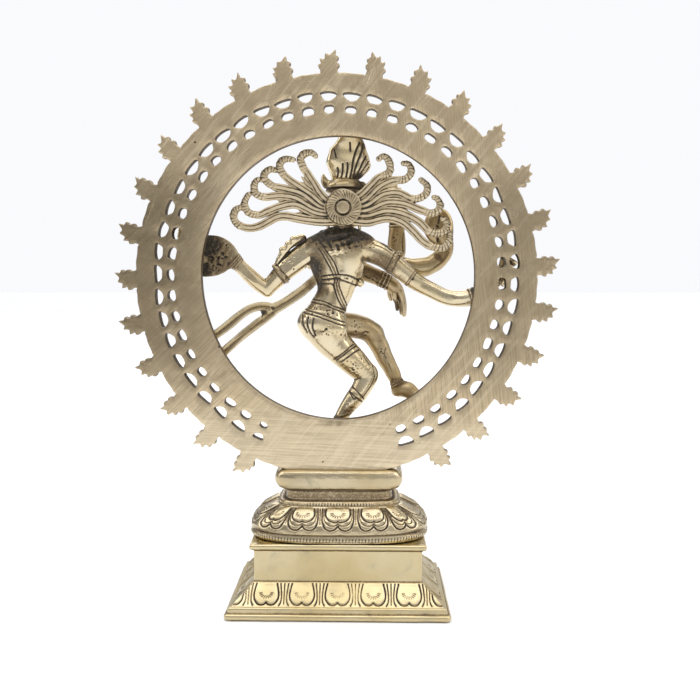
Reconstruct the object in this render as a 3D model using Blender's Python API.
"""Brass dancing-figure statue with a flaming arch, built as separate cast and fitted pieces.

The statue stands on Z = 0 with its base centred on the origin. The dancer faces -Y.
The arch stands just behind the dancer, and the hair plate is pinned to the back of the head.
"""

import math

import bmesh
import bpy
from mathutils import Vector

MM = 0.001
GAP = 0.3 * MM

# Plinth, the lower base.
PLINTH_DECK_Z = 37.8 * MM
DECK_OPENING_X = 38.0 * MM
DECK_OPENING_Y = 20.0 * MM

# Flaming arch.
OPENING_X = 0.4 * MM
OPENING_Z = 181.0 * MM
OPENING_HALF_X = 73.5 * MM
OPENING_UP = 73.8 * MM
OPENING_DOWN = 78.0 * MM
OPENING_POINTS = 80
ARCH_OUTER_X = 1.4 * MM
ARCH_OUTER_Z = 179.6 * MM
ARCH_OUTER_R = 107.8 * MM
ARCH_FRONT_Y = 7.3 * MM
ARCH_REAR_Y = 14.0 * MM
FLAME_COUNT = 25
FLAME_PITCH_DEG = 12.64
FLAME_MID_DEG = 88.2
FLAME_HEIGHT = 12.7 * MM
FLAME_HALF_WIDTH = 6.1 * MM
HOLE_COUNT = 44
HOLE_PITCH_DEG = 7.22
HOLE_MID_DEG = 91.5
OUTER_HOLE_R = 95.9 * MM
INNER_HOLE_R = 88.9 * MM

# Fasteners.
BORE_CLEARANCE = GAP * 1.2
ARCH_STUD_X = 15.0 * MM
ARCH_STUD_Y = (ARCH_FRONT_Y + ARCH_REAR_Y) * 0.5
ARCH_STUD_R = 1.7 * MM
ARCH_WASHER_THICKNESS = 0.8 * MM
NUT_HEIGHT = 3.0 * MM
PEDESTAL_CEILING_Z = 67.4 * MM
FIGURE_STUD_R = 2.4 * MM
FIGURE_STUD_X = 0.0 * MM
FIGURE_STUD_Y = -6.0 * MM
STUD_BOTTOM_Z = 20.0 * MM
STUD_TOP_Z = 83.0 * MM
TIE_BAR_TOP_Z = 33.9 * MM
TIE_BAR_THICKNESS = 3.0 * MM
STUD_WASHER_THICKNESS = 1.2 * MM
DOWEL_X = 0.0 * MM
DOWEL_Y = -8.5 * MM
DOWEL_R = 1.2 * MM

# Hair plate and its pin.
HUB_X = -2.4 * MM
HUB_Z = 217.6 * MM
HUB_R = 9.8 * MM
PLATE_FRONT_Y = 6.2 * MM
PLATE_REAR_Y = 9.8 * MM
PIN_R = 3.7 * MM
PIN_REAR_Y = 11.6 * MM
PIN_FRONT_Y = -1.5 * MM
PIN_HOLE_GAP = 0.4 * MM

# Skeleton paths in millimetres: X, Y, Z and half-thickness.
STANDING_LEG = (
    (12.5, -6.0, 153.5, 9.8),
    (5.5, -7.0, 145.5, 9.6),
    (-1.5, -7.5, 138.4, 8.7),
    (-9.0, -8.5, 131.0, 7.6),
    (-14.6, -9.0, 124.5, 6.3),
    (-12.6, -7.5, 118.0, 5.7),
    (-8.0, -6.0, 111.5, 5.2),
    (-3.2, -5.5, 105.0, 4.0),
    (-0.8, -5.5, 100.5, 3.8),
    (0.5, -6.0, 97.0, 3.9),
)
STANDING_FOOT = (
    (1.5, -3.5, 94.6, 2.8),
    (0.5, -8.0, 95.0, 3.4),
    (-1.0, -14.0, 94.2, 3.1),
    (-2.0, -19.0, 93.2, 2.5),
)
RAISED_LEG = (
    (3.5, -15.0, 153.0, 7.0),
    (-4.0, -17.5, 152.5, 7.2),
    (-12.0, -19.5, 151.0, 6.6),
    (-18.0, -21.0, 147.5, 6.0),
    (-22.0, -20.5, 141.0, 5.3),
    (-26.0, -18.5, 133.0, 4.7),
    (-30.0, -15.5, 125.5, 4.0),
    (-32.5, -13.0, 120.0, 3.6),
)
RAISED_FOOT = (
    (-31.0, -11.0, 117.6, 3.3),
    (-37.0, -9.0, 116.6, 3.9),
    (-44.0, -6.0, 112.8, 3.5),
    (-51.0, -3.4, 108.6, 2.8),
)
BACK_LEFT_ARM = (
    (18.0, -6.5, 194.0, 6.6),
    (23.5, -6.0, 189.5, 6.4),
    (29.5, -5.0, 184.5, 6.0),
    (35.5, -4.5, 179.5, 5.2),
    (41.3, -4.0, 175.5, 4.5),
    (47.5, -3.5, 178.8, 4.4),
    (53.5, -3.0, 184.5, 3.9),
    (58.2, -2.2, 189.3, 3.3),
)
BACK_LEFT_HAND = (
    (58.6, -2.0, 190.0, 3.6),
    (62.0, -1.8, 191.6, 6.2),
    (66.0, -1.2, 192.3, 9.0),
    (70.0, -0.6, 192.0, 11.0),
    (74.0, -0.2, 191.6, 10.8),
)
BACK_LEFT_FINGERS = (
    (74.0, 0.2, 190.5, 3.0),
    (79.0, 0.6, 188.0, 2.2),
    (85.0, 0.8, 188.6, 1.6),
)
HAND_FLAME = (
    (80.5, 1.6, 191.5, 4.6),
    (80.5, 1.6, 197.0, 5.2),
    (81.0, 1.9, 203.0, 4.3),
    (82.5, 2.3, 209.0, 2.8),
    (83.5, 2.6, 213.5, 1.3),
)
BACK_RIGHT_ARM = (
    (-16.5, -4.5, 194.0, 6.6),
    (-23.0, -3.8, 191.0, 6.2),
    (-29.5, -3.2, 187.0, 5.7),
    (-36.5, -2.8, 182.0, 5.2),
    (-43.5, -2.2, 176.5, 4.7),
    (-51.5, -1.2, 171.5, 4.3),
    (-60.5, 0.0, 168.0, 4.0),
    (-68.5, 1.6, 168.0, 4.0),
    (-75.0, 2.4, 169.6, 4.3),
)
BACK_RIGHT_FINGERS = (
    (-76.0, 2.3, 170.2, 4.0),
    (-82.0, 2.6, 173.5, 3.4),
    (-86.0, 2.8, 178.0, 2.3),
)
FRONT_RIGHT_ARM = (
    (-16.0, -14.0, 195.0, 5.6),
    (-22.0, -17.0, 192.0, 5.4),
    (-28.5, -20.0, 190.5, 5.0),
    (-32.3, -22.0, 193.5, 4.8),
    (-32.5, -22.5, 200.0, 4.6),
    (-32.2, -22.5, 207.0, 4.2),
    (-31.8, -22.5, 213.0, 3.3),
)
FRONT_RIGHT_HAND = (
    (-31.8, -22.6, 215.0, 3.2),
    (-31.6, -22.8, 219.0, 4.4),
    (-31.2, -23.0, 225.0, 4.2),
    (-30.8, -23.6, 231.0, 2.4),
)
FRONT_LEFT_ARM = (
    (16.0, -15.5, 190.0, 5.6),
    (8.0, -20.0, 187.5, 5.6),
    (-1.0, -23.0, 186.0, 5.2),
    (-10.5, -24.5, 184.5, 5.0),
    (-19.0, -25.0, 181.0, 4.5),
    (-26.5, -25.0, 177.0, 4.0),
    (-30.5, -25.0, 172.8, 3.7),
    (-33.5, -25.2, 166.0, 3.4),
    (-35.6, -25.4, 160.0, 2.3),
)
COBRA = (
    (-38.5, -12.8, 186.2, 4.9),
    (-42.0, -13.0, 185.4, 5.3),
    (-47.5, -13.8, 185.6, 5.5),
    (-53.5, -14.8, 188.2, 5.2),
    (-58.4, -15.3, 193.0, 4.8),
    (-60.2, -15.5, 198.6, 4.0),
    (-57.6, -15.6, 204.0, 6.0),
    (-56.0, -15.6, 209.0, 7.6),
    (-57.0, -15.8, 214.0, 5.6),
    (-58.0, -16.0, 218.0, 2.4),
)
SASH_MAIN = (
    (16.1, -3.6, 176.4, 3.1),
    (22.0, -3.0, 171.4, 3.1),
    (30.2, -2.6, 165.9, 3.1),
    (37.2, -2.2, 162.2, 3.4),
    (42.0, -2.0, 161.0, 2.9),
)
SASH_UPPER = (
    (37.0, -2.0, 163.2, 2.6),
    (43.5, -1.8, 164.0, 2.7),
    (50.0, -1.1, 162.3, 2.7),
    (56.0, -0.2, 158.2, 2.7),
    (61.0, 0.8, 154.0, 2.8),
    (67.0, 2.6, 149.4, 2.6),
    (73.0, 4.0, 145.8, 2.2),
)
SASH_LOWER = (
    (37.0, -2.2, 160.6, 2.6),
    (42.0, -1.9, 156.8, 2.7),
    (46.7, -1.6, 153.5, 2.7),
    (55.0, -0.4, 146.9, 2.6),
    (63.3, 1.9, 139.5, 2.7),
    (71.5, 4.0, 132.0, 2.2),
)
LEFT_CURLS = (
    ((2, 219), (7, 222), (12, 228), (17, 235), (20, 241), (19, 245.5), (15, 246.5), (12.3, 244.8)),
    ((2, 217), (9, 219), (17, 226), (26, 231.5), (31, 236), (31, 241.5), (27.5, 243.6), (24.3, 243.2)),
    ((2, 216), (12, 220), (22, 226), (34, 228.5), (39.6, 232.3), (39.8, 236), (36.4, 238), (33.5, 237.6)),
    ((2, 215), (13, 217), (24, 222.5), (36, 223), (43, 224), (45.8, 228), (44.4, 232), (42.2, 233.2)),
    ((2, 214), (14, 215.5), (26, 219), (38, 215.8), (45, 213.6), (50, 216.5), (50.8, 221), (47.4, 225.2)),
    (
        (2, 211), (14, 211), (27, 213), (36, 210.8), (44, 207),
        (52, 206.4), (57.6, 211), (56, 216.4), (51.5, 217.8),
    ),
)
RIGHT_CURLS = (
    ((-7, 219), (-12, 223.5), (-18, 229.5), (-25, 234.5), (-27.6, 239.5), (-25.6, 243.6), (-22, 243.8)),
    ((-7, 217), (-14, 220.5), (-22, 228), (-32, 231.8), (-38, 234.4), (-38.4, 239.2), (-34, 241)),
    ((-7, 216), (-16, 218), (-26, 224.6), (-38, 223), (-45, 223.4), (-47.6, 228), (-43.2, 231.8)),
    ((-7, 215), (-17, 216), (-29, 219.8), (-42, 217), (-51, 215), (-55, 219), (-51.8, 223)),
    (
        (-7, 213), (-18, 213), (-30, 214.8), (-42, 211),
        (-49, 204.8), (-55.5, 204), (-58.5, 208), (-56.4, 211.6),
    ),
    (
        (-7, 210.5), (-18, 209.5), (-30, 211.4), (-40, 206),
        (-47, 198.4), (-54, 195.8), (-59.6, 199), (-60.4, 203.6),
    ),
)
CURL_ROOT_R = 3.0
CURL_TIP_R = 1.7
DWARF_BODY = (
    (-17.0, -9.0, 84.0, 3.6),
    (-11.0, -9.0, 84.4, 7.2),
    (-1.0, -9.0, 84.2, 8.0),
    (9.0, -9.0, 83.6, 7.6),
    (16.0, -9.0, 82.6, 5.4),
)
DWARF_HEAD = (
    (17.5, -9.5, 84.5, 5.0),
    (22.5, -10.0, 86.2, 6.2),
    (26.5, -10.2, 87.2, 4.0),
)
DWARF_LEG = (
    (-12.0, -9.0, 82.6, 5.0),
    (-20.0, -12.0, 82.0, 4.4),
    (-26.0, -14.0, 80.6, 3.8),
    (-28.5, -8.0, 79.6, 3.2),
    (-29.0, -2.0, 79.2, 2.8),
)
DWARF_ARM = (
    (10.0, -14.0, 85.0, 3.6),
    (14.0, -18.5, 81.5, 3.2),
    (22.0, -19.0, 79.4, 2.8),
)

BRASS = ((0.70, 0.58, 0.34), 0.24, 1.0)
SATIN_BRASS = ((0.66, 0.57, 0.40), 0.38, 1.0)
BASE_BRASS = ((0.74, 0.61, 0.36), 0.30, 1.0)
DULL_BRASS = ((0.40, 0.29, 0.15), 0.42, 1.0)
STEEL = ((0.52, 0.52, 0.51), 0.35, 1.0)


def clear_scene():
    """Remove every object, mesh, curve and material that the new file starts with."""
    for obj in list(bpy.data.objects):
        bpy.data.objects.remove(obj, do_unlink=True)
    for block in (bpy.data.meshes, bpy.data.curves, bpy.data.materials):
        for item in list(block):
            block.remove(item)


def finish_material(name, look):
    """One Principled material for one piece."""
    colour, rough, metal = look
    mat = bpy.data.materials.new(name)
    mat.use_nodes = True
    shader = mat.node_tree.nodes["Principled BSDF"]
    shader.inputs["Base Color"].default_value = (colour[0], colour[1], colour[2], 1.0)
    shader.inputs["Roughness"].default_value = rough
    shader.inputs["Metallic"].default_value = metal
    mat.diffuse_color = (colour[0], colour[1], colour[2], 1.0)
    return mat


def object_from(name, bm, look=None, smooth=True):
    """Make a scene object from a bmesh, with outward normals."""
    bmesh.ops.remove_doubles(bm, verts=bm.verts, dist=0.00001)
    bmesh.ops.recalc_face_normals(bm, faces=bm.faces)
    mesh = bpy.data.meshes.new(name)
    bm.to_mesh(mesh)
    bm.free()
    obj = bpy.data.objects.new(name, mesh)
    bpy.context.scene.collection.objects.link(obj)
    for poly in mesh.polygons:
        poly.use_smooth = smooth
    if look is not None:
        mesh.materials.append(finish_material(name, look))
    return obj


def bridge(bm, loops, close_ring):
    """Join equal loops of points into one closed skin."""
    rings = [[bm.verts.new(p) for p in loop] for loop in loops]
    count = len(rings[0])
    pairs = list(zip(rings, rings[1:]))
    if close_ring:
        pairs.append((rings[-1], rings[0]))
    for low, high in pairs:
        for i in range(count):
            j = (i + 1) % count
            bm.faces.new((low[i], low[j], high[j], high[i]))
    if not close_ring:
        bm.faces.new(rings[0])
        bm.faces.new(rings[-1])


def rounded_rect(half_x, half_y, radius, z, corner_steps):
    """One level loop: a rectangle with rounded corners."""
    radius = min(radius, half_x - 0.0001, half_y - 0.0001)
    points = []
    for quarter in range(4):
        sx = (1, -1, -1, 1)[quarter]
        sy = (1, 1, -1, -1)[quarter]
        for step in range(corner_steps + 1):
            angle = math.radians(90.0 * quarter + 90.0 * step / corner_steps)
            x = sx * (half_x - radius) + radius * math.cos(angle)
            y = sy * (half_y - radius) + radius * math.sin(angle)
            points.append(Vector((x, y, z)))
    return points


def oval(half_x, half_y, power, z, count):
    """One level loop: a cushion-shaped oval."""
    points = []
    for i in range(count):
        angle = 2.0 * math.pi * i / count
        c = math.cos(angle)
        s = math.sin(angle)
        x = half_x * math.copysign(abs(c) ** (2.0 / power), c)
        y = half_y * math.copysign(abs(s) ** (2.0 / power), s)
        points.append(Vector((x, y, z)))
    return points


def smooth_path(path, steps):
    """Catmull-Rom points along a path of X, Y, Z and radius, in metres."""
    keys = [Vector((p[0], p[1], p[2], p[3])) * MM for p in path]
    result = []
    last = len(keys) - 1
    for i in range(last):
        a = keys[max(i - 1, 0)]
        b = keys[i]
        c = keys[i + 1]
        d = keys[min(i + 2, last)]
        for s in range(steps):
            t = s / steps
            p = 2.0 * b + (c - a) * t + (2.0 * a - 5.0 * b + 4.0 * c - d) * t * t
            p = p + (3.0 * b - a - 3.0 * c + d) * t * t * t
            result.append(p * 0.5)
    result.append(keys[last])
    return result


def rounded_ends(points):
    """Add smaller end rings so that a swept limb closes with a rounded end."""
    head = points[0]
    tail = points[-1]
    first = (points[0].xyz - points[1].xyz).normalized()
    final = (points[-1].xyz - points[-2].xyz).normalized()
    tip = head.xyz + first * head.w * 0.62
    end = tail.xyz + final * tail.w * 0.62
    start = Vector((tip.x, tip.y, tip.z, head.w * 0.62))
    stop = Vector((end.x, end.y, end.z, tail.w * 0.62))
    return [start] + points + [stop]


def sweep(name, path, sides=8, steps=2, flat=1.0, side_axis=(0.0, 1.0, 0.0), look=None):
    """A limb: round or flattened rings along a smooth path. The flat share is the depth over the width."""
    points = rounded_ends(smooth_path(path, steps))
    ref = Vector(side_axis)
    loops = []
    for i, point in enumerate(points):
        before = points[max(i - 1, 0)].xyz
        after = points[min(i + 1, len(points) - 1)].xyz
        along = (after - before).normalized()
        across = along.cross(ref).normalized()
        deep = across.cross(along).normalized()
        loop = []
        for k in range(sides):
            angle = 2.0 * math.pi * (k + 0.5) / sides
            offset = across * math.cos(angle) * point.w
            offset = offset + deep * math.sin(angle) * point.w * flat
            loop.append(point.xyz + offset)
        loops.append(loop)
    bm = bmesh.new()
    bridge(bm, loops, False)
    return object_from(name, bm, look)


def ball(name, centre, radii, segments=12, rings=8, look=None):
    """An ellipsoid, given in millimetres."""
    bm = bmesh.new()
    bmesh.ops.create_uvsphere(bm, u_segments=segments, v_segments=rings, radius=1.0)
    for vert in bm.verts:
        vert.co.x = (centre[0] + vert.co.x * radii[0]) * MM
        vert.co.y = (centre[1] + vert.co.y * radii[1]) * MM
        vert.co.z = (centre[2] + vert.co.z * radii[2]) * MM
    return object_from(name, bm, look)


def rod(name, start, end, radius, sides, look=None):
    """A straight round or many-sided bar between two points, in metres."""
    a = Vector(start)
    b = Vector(end)
    along = (b - a).normalized()
    ref = Vector((0.0, 0.0, 1.0))
    if abs(along.z) > 0.9:
        ref = Vector((1.0, 0.0, 0.0))
    across = along.cross(ref).normalized()
    deep = across.cross(along).normalized()
    loops = []
    for centre in (a, b):
        loop = []
        for k in range(sides):
            angle = 2.0 * math.pi * (k + 0.5) / sides
            offset = (across * math.cos(angle) + deep * math.sin(angle)) * radius
            loop.append(centre + offset)
        loops.append(loop)
    bm = bmesh.new()
    bridge(bm, loops, False)
    return object_from(name, bm, look, smooth=sides > 8)


def volume_of(mesh):
    """Volume of a closed mesh, or nothing if it isn't closed."""
    bm = bmesh.new()
    bm.from_mesh(mesh)
    closed = all(edge.is_manifold for edge in bm.edges)
    volume = abs(bm.calc_volume()) if closed else 0.0
    bm.free()
    return volume


def combine(obj, tool, operation):
    """One exact Boolean between two closed shapes. The tool is used up if the result is closed."""
    own = volume_of(obj.data)
    other = volume_of(tool.data)
    least = max(own, other) * 0.98
    if operation == "DIFFERENCE":
        least = max(own - other * 1.02, own * 0.05)
    mod = obj.modifiers.new("combine", "BOOLEAN")
    mod.operation = operation
    mod.solver = "EXACT"
    mod.object = tool
    for crossing in (False, True):
        mod.use_self = crossing
        graph = bpy.context.evaluated_depsgraph_get()
        shape = bpy.data.meshes.new_from_object(obj.evaluated_get(graph))
        if volume_of(shape) >= least:
            break
        bpy.data.meshes.remove(shape)
    else:
        obj.modifiers.clear()
        return False
    obj.modifiers.clear()
    old = obj.data
    obj.data = shape
    bpy.data.meshes.remove(old)
    shape.name = obj.name
    drop(tool)
    return True


def fuse(obj, *tools):
    """Cast several shapes as one."""
    for tool in tools:
        if not combine(obj, tool, "UNION"):
            raise RuntimeError("no closed cast of " + obj.name + " with " + tool.name)
    return obj


def cut(obj, *tools):
    """Take shapes out of a piece."""
    for tool in tools:
        if not combine(obj, tool, "DIFFERENCE"):
            raise RuntimeError("no closed cut of " + obj.name + " with " + tool.name)
    return obj


def grown_copy(obj, amount):
    """A copy of a piece, a little larger all round."""
    mesh = obj.data.copy()
    bm = bmesh.new()
    bm.from_mesh(mesh)
    bm.normal_update()
    moved = [vert.normal * amount for vert in bm.verts]
    for vert, step in zip(bm.verts, moved):
        vert.co += step
    bm.to_mesh(mesh)
    bm.free()
    copy = bpy.data.objects.new(obj.name + "_room", mesh)
    bpy.context.scene.collection.objects.link(copy)
    return copy


def bounds(obj):
    """Lowest and highest corner of a piece."""
    points = [obj.matrix_world @ vert.co for vert in obj.data.vertices]
    low = Vector([min(p[k] for p in points) for k in range(3)])
    high = Vector([max(p[k] for p in points) for k in range(3)])
    return low, high


def boxes_meet(one, two):
    """Whether the boxes of two pieces come within a millimetre."""
    low_a, high_a = bounds(one)
    low_b, high_b = bounds(two)
    return all(low_a[k] < high_b[k] + MM and low_b[k] < high_a[k] + MM for k in range(3))


def trim(obj, other):
    """Take a slightly larger copy of a neighbour out of a piece."""
    for amount in (1.35, 1.6, 1.2, 1.8):
        room = grown_copy(other, GAP * amount)
        if combine(obj, room, "DIFFERENCE"):
            return
        drop(room)
    raise RuntimeError("no clear fit for " + obj.name + " beside " + other.name)


def drop(obj):
    """Remove an object and its mesh."""
    used = obj.data
    bpy.data.objects.remove(obj, do_unlink=True)
    bpy.data.meshes.remove(used)


def stand_clear(obj, others):
    """Trim a piece so that a thin gap is left to its neighbours."""
    for other in others:
        if boxes_meet(obj, other):
            trim(obj, other)
    keep_largest(obj)
    for poly in obj.data.polygons:
        poly.use_smooth = True
    return obj


def keep_largest(obj):
    """Drop chips that a trim leaves and weld tiny edges."""
    bm = bmesh.new()
    bm.from_mesh(obj.data)
    bm.verts.index_update()
    bm.verts.ensure_lookup_table()
    seen = set()
    groups = []
    for vert in bm.verts:
        if vert.index in seen:
            continue
        group = [vert]
        seen.add(vert.index)
        for item in group:
            for edge in item.link_edges:
                other = edge.other_vert(item)
                if other.index not in seen:
                    seen.add(other.index)
                    group.append(other)
        groups.append(group)
    groups.sort(key=len, reverse=True)
    for group in groups[1:]:
        bmesh.ops.delete(bm, geom=group, context="VERTS")
    bmesh.ops.recalc_face_normals(bm, faces=bm.faces)
    bm.to_mesh(obj.data)
    bm.free()
    for distance in (0.00004, 0.00002, 0.00001):
        bm = bmesh.new()
        bm.from_mesh(obj.data)
        bmesh.ops.triangulate(bm, faces=bm.faces)
        bmesh.ops.remove_doubles(bm, verts=bm.verts, dist=distance)
        bmesh.ops.dissolve_degenerate(bm, edges=bm.edges, dist=distance * 0.5)
        closed = all(edge.is_manifold for edge in bm.edges)
        if closed:
            bm.to_mesh(obj.data)
        bm.free()
        if closed:
            return


def dress(obj, look):
    """Give a finished piece its own material and smooth shading."""
    obj.data.materials.clear()
    obj.data.materials.append(finish_material(obj.name, look))
    for poly in obj.data.polygons:
        poly.use_smooth = True
    return obj


def make_plinth():
    """Lower base: bead, fillet, sloping lotus band, block and ledge, hollow and open below."""
    levels = (
        (59.0, 39.0, 2.2, 0.0),
        (60.0, 40.0, 2.6, 0.9),
        (60.0, 40.0, 2.6, 2.5),
        (59.2, 39.2, 2.2, 3.3),
        (58.2, 38.2, 1.0, 3.7),
        (58.0, 38.0, 1.0, 6.1),
        (56.6, 36.6, 0.6, 6.6),
        (46.0, 27.9, 0.6, 16.6),
        (45.2, 27.0, 0.6, 17.2),
        (45.2, 27.0, 0.6, 33.8),
        (46.2, 28.0, 0.6, 34.6),
        (47.4, 29.2, 0.8, 35.2),
        (47.5, 29.3, 0.8, 37.1),
        (46.9, 28.7, 0.8, 37.8),
    )
    loops = [rounded_rect(a * MM, b * MM, r * MM, z * MM, 2) for a, b, r, z in levels]
    opening_x = DECK_OPENING_X
    opening_y = DECK_OPENING_Y
    loops.append(rounded_rect(opening_x, opening_y, 3.0 * MM, PLINTH_DECK_Z, 2))
    loops.append(rounded_rect(opening_x, opening_y, 3.0 * MM, 34.2 * MM, 2))
    inner = ((42.6, 24.4, 34.2), (42.6, 24.4, 17.6), (43.4, 25.2, 15.6), (54.2, 34.2, 5.6), (55.4, 35.4, 0.0))
    for a, b, z in inner:
        loops.append(rounded_rect(a * MM, b * MM, 1.0 * MM, z * MM, 2))
    bm = bmesh.new()
    bridge(bm, loops, True)
    return object_from("base_plinth", bm, BASE_BRASS, smooth=False)


def make_pedestal():
    """Upper base: beaded lotus cushion, neck and thick rounded top, hollow and open below."""
    outer = (
        (37.6, 19.6, 6.0, 35.0),
        (37.6, 19.6, 6.0, 38.1),
        (48.2, 28.6, 3.0, 38.1),
        (48.9, 29.2, 3.0, 39.6),
        (48.6, 29.0, 3.0, 42.2),
        (49.3, 29.6, 3.0, 43.4),
        (48.4, 29.0, 3.0, 47.0),
        (44.6, 27.0, 3.0, 50.8),
        (38.6, 24.0, 3.4, 54.2),
        (33.4, 20.8, 4.2, 56.6),
        (33.2, 20.6, 4.4, 58.6),
        (29.4, 17.4, 6.0, 59.6),
        (29.2, 17.2, 6.0, 64.2),
        (31.6, 17.4, 6.0, 64.7),
        (34.0, 18.4, 6.0, 66.2),
        (35.2, 18.8, 6.0, 69.0),
        (35.2, 18.8, 6.0, 71.4),
        (34.2, 18.4, 6.0, 73.8),
        (32.6, 17.4, 6.0, 75.0),
        (31.0, 16.0, 6.0, 75.4),
    )
    inner = (
        (25.4, 14.4, 6.0, PEDESTAL_CEILING_Z / MM),
        (26.4, 14.8, 6.0, 66.2),
        (26.4, 14.8, 6.0, 58.6),
        (30.0, 16.4, 4.4, 56.4),
        (35.0, 18.0, 3.4, 52.0),
        (35.0, 17.4, 6.0, 38.0),
        (35.0, 17.2, 6.0, 35.0),
    )
    loops = [oval(a * MM, b * MM, p, z * MM, 32) for a, b, p, z in outer]
    bm = bmesh.new()
    bridge(bm, loops, False)
    body = object_from("lotus_pedestal", bm)
    hollow_bm = bmesh.new()
    hollow_loops = [oval(a * MM, b * MM, p, z * MM, 20) for a, b, p, z in inner]
    hollow_loops.append(oval(35.0 * MM, 17.2 * MM, 6.0, 34.0 * MM, 20))
    bridge(hollow_bm, hollow_loops, False)
    cut(body, object_from("pedestal_hollow", hollow_bm))
    slot = arch_disc("arch_slot", ARCH_OUTER_R + GAP, ARCH_FRONT_Y - GAP, ARCH_REAR_Y + GAP)
    cut(body, slot)
    for side in (-1.0, 1.0):
        x = ARCH_OUTER_X + side * ARCH_STUD_X
        start = (x, ARCH_STUD_Y, 60.0 * MM)
        end = (x, ARCH_STUD_Y, 80.0 * MM)
        cut(body, rod("stud_room", start, end, ARCH_STUD_R + BORE_CLEARANCE, 12))
    start = (FIGURE_STUD_X, FIGURE_STUD_Y, 60.0 * MM)
    end = (FIGURE_STUD_X, FIGURE_STUD_Y, 80.0 * MM)
    cut(body, rod("stud_room", start, end, FIGURE_STUD_R + BORE_CLEARANCE, 12))
    return dress(body, BASE_BRASS)


def arch_disc(name, radius, front, rear):
    """A thin upright disc about the arch's outer centre."""
    loops = []
    for y in (front, rear):
        loop = []
        for i in range(160):
            angle = 2.0 * math.pi * i / 160
            x = ARCH_OUTER_X + radius * math.cos(angle)
            z = ARCH_OUTER_Z + radius * math.sin(angle)
            loop.append(Vector((x, y, z)))
        loops.append(loop)
    bm = bmesh.new()
    bridge(bm, loops, False)
    return object_from(name, bm)


def polar(radius, degrees):
    """A point of the arch's rear face from a radius and an angle."""
    angle = math.radians(degrees)
    x = ARCH_OUTER_X + radius * math.cos(angle)
    z = ARCH_OUTER_Z + radius * math.sin(angle)
    return Vector((x, ARCH_REAR_Y, z))


def flame_outline(middle):
    """Five-pointed flame standing on the arch's edge, leaning towards the top."""
    lean = 0.9 if middle < FLAME_MID_DEG else -0.9
    if abs(middle - FLAME_MID_DEG) < 1.0:
        lean = 0.0
    shape = (
        (-0.62, 0.0, 0.0),
        (-0.70, 0.22, 0.0),
        (-1.0, 0.36, 0.1),
        (-0.72, 0.50, 0.2),
        (-0.86, 0.72, 0.4),
        (-0.42, 0.72, 0.6),
        (-0.05, 1.0, 1.0),
        (0.42, 0.74, 0.6),
        (0.86, 0.74, 0.4),
        (0.72, 0.52, 0.2),
        (1.0, 0.36, 0.1),
        (0.70, 0.22, 0.0),
        (0.62, 0.0, 0.0),
    )
    half = math.degrees(FLAME_HALF_WIDTH / ARCH_OUTER_R)
    points = []
    for side, rise, shift in shape:
        degrees = middle + side * half + lean * shift
        points.append(polar(ARCH_OUTER_R + rise * FLAME_HEIGHT, degrees))
    return points


def arch_outline():
    """Outer edge of the arch with every flame, once round."""
    first = FLAME_MID_DEG - FLAME_PITCH_DEG * (FLAME_COUNT - 1) * 0.5
    points = []
    for i in range(FLAME_COUNT):
        middle = first + i * FLAME_PITCH_DEG
        points.extend(flame_outline(middle))
        if i < FLAME_COUNT - 1:
            points.append(polar(ARCH_OUTER_R, middle + FLAME_PITCH_DEG * 0.5))
    end = first + (FLAME_COUNT - 1) * FLAME_PITCH_DEG
    start = first + 360.0
    for step in range(1, 12):
        points.append(polar(ARCH_OUTER_R, end + 2.6 + (start - end - 5.2) * step / 12.0))
    return points


def inner_outline():
    """Inner edge of the arch, a little deeper below its middle than above."""
    points = []
    for i in range(OPENING_POINTS):
        angle = 2.0 * math.pi * i / OPENING_POINTS
        reach = OPENING_UP if math.sin(angle) > 0.0 else OPENING_DOWN
        x = OPENING_X + OPENING_HALF_X * math.cos(angle)
        z = OPENING_Z + reach * math.sin(angle)
        points.append(Vector((x, ARCH_REAR_Y, z)))
    return points


def hole_outlines():
    """Two rows of pierced holes: half-moons outside, small ovals inside."""
    outlines = []
    moon = ((-4.2, 1.6), (-3.8, -0.5), (-2.0, -2.3), (2.0, -2.3), (3.8, -0.5), (4.2, 1.6), (0.0, 2.1))
    drop = ((-2.6, 1.4), (-3.1, -0.2), (-1.5, -1.9), (1.5, -1.9), (3.1, -0.2), (2.6, 1.4), (0.0, 2.1))
    first = HOLE_MID_DEG - HOLE_PITCH_DEG * (HOLE_COUNT - 1) * 0.5
    for i in range(HOLE_COUNT):
        middle = first + i * HOLE_PITCH_DEG
        for shape, radius in ((moon, OUTER_HOLE_R), (drop, INNER_HOLE_R)):
            points = []
            for across, out in shape:
                level = radius + out * MM
                points.append(polar(level, middle + math.degrees(across * MM / level)))
            outlines.append(points)
    return outlines


def make_arch():
    """Flat cast arch: pierced band with a flame on every pitch, and two blind bores in its foot."""
    bm = bmesh.new()
    for outline in [arch_outline(), inner_outline()] + hole_outlines():
        verts = [bm.verts.new(p) for p in outline]
        for i, vert in enumerate(verts):
            bm.edges.new((vert, verts[(i + 1) % len(verts)]))
    bmesh.ops.triangle_fill(bm, use_beauty=True, edges=bm.edges)
    lifted = bmesh.ops.extrude_face_region(bm, geom=list(bm.faces))
    thickness = ARCH_REAR_Y - ARCH_FRONT_Y
    moved = [item for item in lifted["geom"] if isinstance(item, bmesh.types.BMVert)]
    bmesh.ops.translate(bm, verts=moved, vec=(0.0, -thickness, 0.0))
    arch = object_from("flame_arch", bm)
    for side in (-1.0, 1.0):
        x = ARCH_OUTER_X + side * ARCH_STUD_X
        start = (x, ARCH_STUD_Y, 68.0 * MM)
        end = (x, ARCH_STUD_Y, 84.0 * MM)
        cut(arch, rod("stud_room", start, end, ARCH_STUD_R + BORE_CLEARANCE, 12))
    dress(arch, SATIN_BRASS)
    for poly in arch.data.polygons:
        poly.use_smooth = False
    return arch


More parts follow.
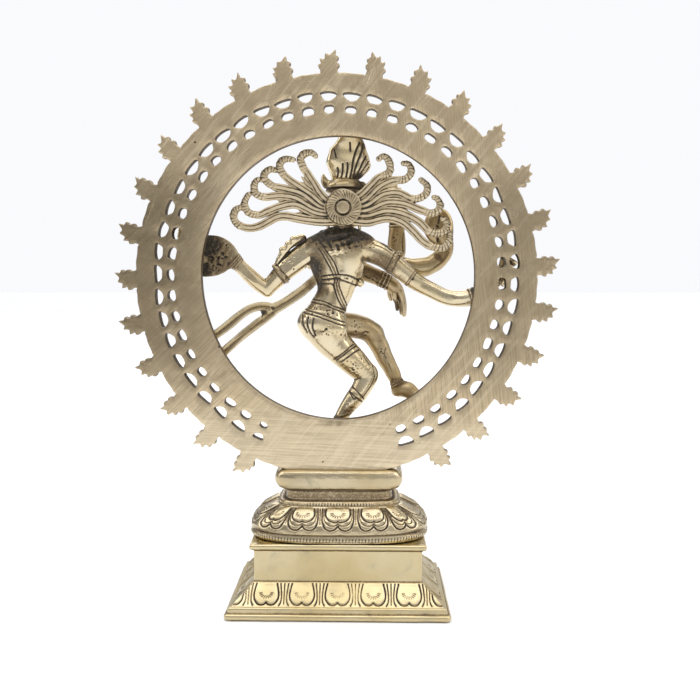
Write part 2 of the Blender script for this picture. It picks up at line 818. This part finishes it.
def make_dwarf():
    """Small figure lying under the standing foot, flat below, with a bore for the long stud."""
    body = sweep("dwarf_figure", DWARF_BODY, sides=12, side_axis=(0.0, 1.0, 0.0))
    head = sweep("dwarf_head", DWARF_HEAD, sides=10)
    leg = sweep("dwarf_leg", DWARF_LEG, sides=8, side_axis=(0.0, 0.0, 1.0))
    arm = sweep("dwarf_arm", DWARF_ARM, sides=8, side_axis=(0.0, 0.0, 1.0))
    plate_loops = (
        oval(29.0 * MM, 7.6 * MM, 3.0, 75.7 * MM, 28),
        oval(29.0 * MM, 7.6 * MM, 3.0, 77.6 * MM, 28),
    )
    bm = bmesh.new()
    bridge(bm, [[p + Vector((-1.0 * MM, -8.6 * MM, 0.0)) for p in loop] for loop in plate_loops], False)
    sole = object_from("dwarf_sole", bm)
    fuse(body, head, leg, arm, sole)
    bm = bmesh.new()
    low = oval(60.0 * MM, 40.0 * MM, 2.0, 60.0 * MM, 16)
    high = oval(60.0 * MM, 40.0 * MM, 2.0, 75.7 * MM, 16)
    bridge(bm, [low, high], False)
    cut(body, object_from("floor_room", bm))
    start = (FIGURE_STUD_X, FIGURE_STUD_Y, 70.0 * MM)
    end = (FIGURE_STUD_X, FIGURE_STUD_Y, STUD_TOP_Z + 0.6 * MM)
    cut(body, rod("stud_room", start, end, FIGURE_STUD_R + BORE_CLEARANCE, 12))
    keep_largest(body)
    return dress(body, DULL_BRASS)


def make_body():
    """Head, trunk and standing leg, cast in one, with a socket for the hair pin."""
    trunk_levels = (
        (8.6, -6.0, 149.0, 7.0, 6.6),
        (9.6, -6.2, 153.0, 12.6, 9.2),
        (9.0, -6.5, 158.0, 12.4, 9.6),
        (7.0, -6.6, 163.0, 10.8, 8.8),
        (5.0, -6.6, 168.5, 10.0, 8.0),
        (3.2, -6.8, 174.5, 11.2, 8.4),
        (1.6, -7.2, 181.5, 13.6, 9.6),
        (1.0, -7.0, 188.0, 15.6, 9.6),
        (0.2, -6.2, 194.0, 17.6, 8.2),
        (-0.6, -5.6, 198.6, 13.0, 6.4),
        (-1.6, -5.4, 202.0, 6.6, 5.4),
        (-2.2, -5.6, 206.0, 5.2, 5.2),
    )
    loops = []
    for x, y, z, rx, ry in trunk_levels:
        loop = oval(rx * MM, ry * MM, 2.2, z * MM, 16)
        loops.append([p + Vector((x * MM, y * MM, 0.0)) for p in loop])
    bm = bmesh.new()
    bridge(bm, loops, False)
    body = object_from("figure_body", bm)
    head = ball("head", (-2.4, -6.0, 215.0), (8.8, 9.8, 11.6), 14, 10)
    leg = sweep("standing_leg", STANDING_LEG, sides=12)
    foot = sweep("standing_foot", STANDING_FOOT, sides=8, flat=0.8, side_axis=(0.0, 0.0, 1.0))
    fuse(body, head, leg, foot)
    socket_end = (HUB_X, 12.0 * MM, HUB_Z)
    socket_start = (HUB_X, PIN_FRONT_Y - GAP * 1.4, HUB_Z)
    cut(body, rod("pin_room", socket_start, socket_end, PIN_R - 0.5 * MM + GAP, 20))
    flat_start = (HUB_X, PLATE_FRONT_Y - 2.0 * GAP, HUB_Z)
    flat_end = (HUB_X, 20.0 * MM, HUB_Z)
    cut(body, rod("plate_room", flat_start, flat_end, 14.0 * MM, 24))
    dowel_start = (DOWEL_X, DOWEL_Y, 85.0 * MM)
    dowel_end = (DOWEL_X, DOWEL_Y, 96.6 * MM)
    cut(body, rod("dowel_room", dowel_start, dowel_end, DOWEL_R + GAP, 10))
    return dress(body, BRASS)


def make_raised_leg():
    """Left leg lifted across the body, with its anklet and foot."""
    leg = sweep("raised_leg", RAISED_LEG, sides=10)
    foot = sweep("raised_foot", RAISED_FOOT, sides=8, flat=0.8)
    anklet = ((-33.4, -12.4, 118.6, 4.7), (-32.2, -13.2, 120.6, 4.7))
    ring = sweep("anklet", anklet, sides=10, steps=1)
    fuse(leg, foot, ring)
    return dress(leg, DULL_BRASS)


def make_back_left_arm():
    """Rear left arm, bent up to an open hand."""
    arm = sweep("back_left_arm", BACK_LEFT_ARM, sides=10)
    hand = sweep("hand", BACK_LEFT_HAND, sides=12, flat=0.57)
    armlet = ((34.2, -4.6, 180.8, 6.4), (36.2, -4.5, 179.2, 6.2))
    band = sweep("band", armlet, sides=10, steps=1)
    fingers = sweep("fingers", BACK_LEFT_FINGERS, sides=8)
    fuse(arm, hand, band, fingers)
    return dress(arm, BRASS)


def make_hand_flame():
    """Tongue of fire standing on the rear left hand."""
    flame = sweep("hand_flame", HAND_FLAME, sides=10, flat=0.66)
    left_tongue = ((78.0, 1.8, 196.0, 3.0), (75.6, 2.2, 202.0, 2.4), (77.0, 2.6, 208.0, 1.1))
    right_tongue = ((83.0, 1.8, 196.0, 3.0), (86.6, 2.2, 201.0, 2.2), (87.4, 2.6, 206.0, 1.1))
    side_one = sweep("tongue", left_tongue, sides=8)
    side_two = sweep("tongue", right_tongue, sides=8)
    fuse(flame, side_one, side_two)
    return dress(flame, DULL_BRASS)


def make_back_right_arm():
    """Rear right arm, stretched out and down to the hand that holds the drum."""
    arm = sweep("back_right_arm", BACK_RIGHT_ARM, sides=10)
    fingers = sweep("fingers", BACK_RIGHT_FINGERS, sides=8, flat=0.8)
    band = sweep("band", ((-30.6, -3.2, 186.4, 6.6), (-33.0, -3.0, 184.7, 6.4)), sides=10, steps=1)
    fuse(arm, fingers, band)
    return dress(arm, BRASS)


def make_drum():
    """Small hourglass drum held between the fingers."""
    shape = ((-8.0, 4.6), (-7.0, 5.0), (-3.4, 3.6), (0.0, 2.4), (3.4, 3.6), (7.0, 5.0), (8.0, 4.6))
    loops = []
    for along, radius in shape:
        loop = []
        for k in range(14):
            angle = 2.0 * math.pi * k / 14
            x = -89.5 + along * 0.5 + radius * math.cos(angle) * 0.866
            z = 184.0 + along * 0.866 - radius * math.cos(angle) * 0.5
            y = 1.6 + radius * math.sin(angle)
            loop.append(Vector((x, y, z)) * MM)
        loops.append(loop)
    bm = bmesh.new()
    bridge(bm, loops, False)
    drum = object_from("hand_drum", bm)
    return dress(drum, DULL_BRASS)


def make_front_right_arm():
    """Front right arm, raised with an open palm."""
    arm = sweep("front_right_arm", FRONT_RIGHT_ARM, sides=10)
    hand = sweep("palm", FRONT_RIGHT_HAND, sides=8, flat=0.5)
    thumb_path = ((-28.5, -22.8, 217.0, 1.8), (-25.6, -23.2, 221.0, 1.5), (-25.2, -23.4, 224.0, 1.2))
    thumb = sweep("thumb", thumb_path, sides=8)
    bangle_path = ((-32.0, -22.5, 209.6, 4.8), (-31.9, -22.5, 211.8, 4.8))
    bangle = sweep("bangle", bangle_path, sides=10, steps=1)
    fuse(arm, hand, thumb, bangle)
    return dress(arm, DULL_BRASS)


def make_front_left_arm():
    """Front left arm, crossing the chest with its hand hanging down."""
    arm = sweep("front_left_arm", FRONT_LEFT_ARM, sides=10)
    finger_path = ((-29.0, -25.0, 171.0, 2.0), (-29.6, -25.2, 165.0, 1.7), (-30.6, -25.4, 160.5, 1.3))
    finger = sweep("finger", finger_path, sides=8)
    bangle_path = ((-24.6, -25.0, 178.4, 4.9), (-26.2, -25.0, 177.4, 4.8))
    bangle = sweep("bangle", bangle_path, sides=10, steps=1)
    fuse(arm, finger, bangle)
    return dress(arm, DULL_BRASS)


def make_cobra():
    """Snake carried on the right arm, rearing up with a spread hood."""
    snake = sweep("cobra", COBRA, sides=10, flat=0.6)
    return dress(snake, DULL_BRASS)


def make_sash():
    """Flying sash that leaves the waist and forks into two tails."""
    sash = sweep("sash", SASH_MAIN, sides=8, flat=0.7)
    upper = sweep("sash_upper", SASH_UPPER, sides=8, flat=0.7)
    lower = sweep("sash_lower", SASH_LOWER, sides=8, flat=0.72)
    fuse(sash, upper, lower)
    return dress(sash, BRASS)


def make_crown_band():
    """Turban band round the top of the head, with an upturned moon on one side."""
    levels = (
        (8.0, 8.2, 225.6),
        (9.6, 9.6, 226.4),
        (10.4, 10.2, 228.4),
        (9.6, 9.4, 230.4),
        (8.6, 8.4, 231.2),
        (8.6, 8.4, 233.2),
        (6.4, 6.2, 234.0),
    )
    loops = []
    for rx, ry, z in levels:
        loop = oval(rx * MM, ry * MM, 2.0, z * MM, 18)
        loops.append([p + Vector((-2.6 * MM, -5.6 * MM, 0.0)) for p in loop])
    bm = bmesh.new()
    bridge(bm, loops, False)
    band = object_from("crown_band", bm)
    moon_path = (
        (2.0, -5.0, 229.2, 2.4),
        (6.2, -4.0, 230.4, 2.2),
        (8.4, -3.6, 233.4, 1.5),
        (8.6, -3.6, 236.0, 0.8),
    )
    moon = sweep("moon", moon_path, sides=8)
    knob = ball("knob", (-12.6, -4.0, 230.0), (3.0, 2.8, 2.6), 10, 6)
    fuse(band, moon, knob)
    return dress(band, BRASS)


def make_plume():
    """Fluted crown of feathers, leaning back to the arch."""
    levels = (
        (-5.9, -4.8, 234.3, 8.6, 5.4),
        (-5.2, -4.2, 237.5, 10.6, 5.4),
        (-5.0, -3.4, 241.5, 12.0, 5.0),
        (-5.2, -2.4, 245.5, 11.6, 4.6),
        (-5.8, -1.4, 249.5, 9.4, 4.2),
        (-6.4, 0.0, 254.5, 6.6, 3.8),
        (-6.6, 1.4, 259.5, 4.2, 3.2),
        (-6.6, 2.6, 263.5, 1.8, 2.2),
    )
    loops = []
    for x, y, z, rx, ry in levels:
        loop = oval(rx * MM, ry * MM, 2.0, z * MM, 16)
        loops.append([p + Vector((x * MM, y * MM, 0.0)) for p in loop])
    bm = bmesh.new()
    bridge(bm, loops, False)
    plume = object_from("crown_plume", bm)
    return dress(plume, BRASS)


def curl_path(points, index, side):
    """Path of one lock of hair, thinning from its root to its tip."""
    path = []
    last = len(points) - 1
    depth = (PLATE_FRONT_Y + PLATE_REAR_Y) * 0.5 / MM
    for i, (x, z) in enumerate(points):
        share = i / last
        radius = CURL_ROOT_R + (CURL_TIP_R - CURL_ROOT_R) * share
        shift = 0.05 * (index - 2.5) + 0.03 * side
        path.append((x, depth + shift, z, radius))
    return path


def make_hair_plate():
    """Fan of flying locks cast as one plate with a round hub and a hole for its pin."""
    hub = rod(
        "hair_plate",
        (HUB_X, PLATE_FRONT_Y, HUB_Z),
        (HUB_X, PLATE_REAR_Y + 0.5 * MM, HUB_Z),
        HUB_R,
        28,
    )
    locks = []
    for side, curls in ((1, LEFT_CURLS), (-1, RIGHT_CURLS)):
        for index, points in enumerate(curls):
            path = curl_path(points, index, side)
            locks.append(sweep("lock", path, sides=6, steps=2, flat=0.6))
    fuse(hub, *locks)
    start = (HUB_X, 0.0, HUB_Z)
    end = (HUB_X, 30.0 * MM, HUB_Z)
    cut(hub, rod("pin_room", start, end, PIN_R + PIN_HOLE_GAP, 28))
    keep_largest(hub)
    dress(hub, SATIN_BRASS)
    set_origin(hub, Vector((HUB_X, PLATE_REAR_Y, HUB_Z)))
    return hub


def set_origin(obj, point):
    """Move an object's origin to a point without moving its shape."""
    for vert in obj.data.vertices:
        vert.co -= point
    obj.location = point


def make_hair_pin():
    """Stepped round peg: the wide part fills the hub, the narrow part goes into the head."""
    steps = (
        (PIN_FRONT_Y, PIN_R - 0.9 * MM),
        (PIN_FRONT_Y + 0.5 * MM, PIN_R - 0.5 * MM),
        (PLATE_FRONT_Y - 0.9 * MM, PIN_R - 0.5 * MM),
        (PLATE_FRONT_Y - 0.4 * MM, PIN_R - 0.5 * MM),
        (PLATE_FRONT_Y - 0.3 * MM, PIN_R),
        (PIN_REAR_Y - 0.5 * MM, PIN_R),
        (PIN_REAR_Y, PIN_R - 0.6 * MM),
    )
    loops = []
    for y, radius in steps:
        loop = []
        for k in range(28):
            angle = 2.0 * math.pi * (k + 0.5) / 28
            loop.append(Vector((HUB_X + radius * math.cos(angle), y, HUB_Z + radius * math.sin(angle))))
        loops.append(loop)
    bm = bmesh.new()
    bridge(bm, loops, False)
    pin = object_from("hair_pin", bm, BRASS)
    set_origin(pin, Vector((HUB_X, PIN_REAR_Y, HUB_Z)))
    return pin


def washer(name, x, y, bottom, top, hole, radius):
    """Flat ring round a stud."""
    loops = []
    for z, r in ((bottom, radius), (top, radius), (top, hole), (bottom, hole)):
        loop = []
        for k in range(16):
            angle = 2.0 * math.pi * (k + 0.5) / 16
            loop.append(Vector((x + r * math.cos(angle), y + r * math.sin(angle), z)))
        loops.append(loop)
    bm = bmesh.new()
    bridge(bm, loops, True)
    return object_from(name, bm, STEEL, smooth=False)


def hex_nut(name, x, y, bottom, top, hole, across):
    """Six-sided nut with a round bore."""
    nut = rod(name, (x, y, bottom), (x, y, top), across / math.cos(math.radians(30.0)), 6)
    cut(nut, rod("bore", (x, y, bottom - 0.002), (x, y, top + 0.002), hole, 16))
    dress(nut, STEEL)
    for poly in nut.data.polygons:
        poly.use_smooth = False
    return nut


def make_fasteners():
    """Studs, washers, nuts and the tie bar that hold the stack together from inside."""
    for side, tag in ((-1.0, "right"), (1.0, "left")):
        x = ARCH_OUTER_X + side * ARCH_STUD_X
        stud_bottom = (x, ARCH_STUD_Y, 61.0 * MM)
        stud_top = (x, ARCH_STUD_Y, 83.4 * MM)
        rod("arch_stud_" + tag, stud_bottom, stud_top, ARCH_STUD_R, 12, STEEL)
        bore = ARCH_STUD_R + BORE_CLEARANCE
        top = PEDESTAL_CEILING_Z - GAP
        low = top - ARCH_WASHER_THICKNESS
        washer("arch_washer_" + tag, x, ARCH_STUD_Y, low, top, bore, 3.0 * MM)
        hex_nut("arch_nut_" + tag, x, ARCH_STUD_Y, low - NUT_HEIGHT, low - GAP, bore, 2.9 * MM)
    x = FIGURE_STUD_X
    y = FIGURE_STUD_Y
    rod("figure_stud", (x, y, STUD_BOTTOM_Z), (x, y, STUD_TOP_Z), FIGURE_STUD_R, 14, STEEL)
    bm = bmesh.new()
    low = TIE_BAR_TOP_Z - TIE_BAR_THICKNESS
    bridge(bm, [rounded_rect(8.0 * MM, 23.6 * MM, 1.0 * MM, z, 2) for z in (low, TIE_BAR_TOP_Z)], False)
    bar = object_from("tie_bar", bm)
    cut(bar, rod("stud_room", (x, y, 20.0 * MM), (x, y, 40.0 * MM), FIGURE_STUD_R + BORE_CLEARANCE, 14))
    dress(bar, STEEL)
    bore = FIGURE_STUD_R + BORE_CLEARANCE
    washer_low = low - GAP - STUD_WASHER_THICKNESS
    washer("stud_washer", x, y, washer_low, low - GAP, bore, 5.2 * MM)
    hex_nut("stud_nut", x, y, low - 6.0 * MM, washer_low - GAP, bore, 4.0 * MM)
    rod("foot_dowel", (DOWEL_X, DOWEL_Y, 87.6 * MM), (DOWEL_X, DOWEL_Y, 96.2 * MM), DOWEL_R, 10, STEEL)


def drill_dowel_seat(dwarf):
    """Bore in the dwarf's back for the dowel under the standing foot."""
    start = (DOWEL_X, DOWEL_Y, 87.2 * MM)
    end = (DOWEL_X, DOWEL_Y, 100.0 * MM)
    cut(dwarf, rod("dowel_room", start, end, DOWEL_R + GAP, 10))
    keep_largest(dwarf)


def build():
    """Make every piece of the statue."""
    clear_scene()
    make_plinth()
    make_pedestal()
    make_arch()
    dwarf = make_dwarf()
    placed = [dwarf]
    makers = (
        make_body,
        make_raised_leg,
        make_back_left_arm,
        make_hand_flame,
        make_back_right_arm,
        make_drum,
        make_front_right_arm,
        make_front_left_arm,
        make_cobra,
        make_sash,
        make_crown_band,
        make_plume,
    )
    for maker in makers:
        piece = maker()
        stand_clear(piece, placed)
        placed.append(piece)
    drill_dowel_seat(dwarf)
    make_hair_plate()
    make_hair_pin()
    make_fasteners()


build()
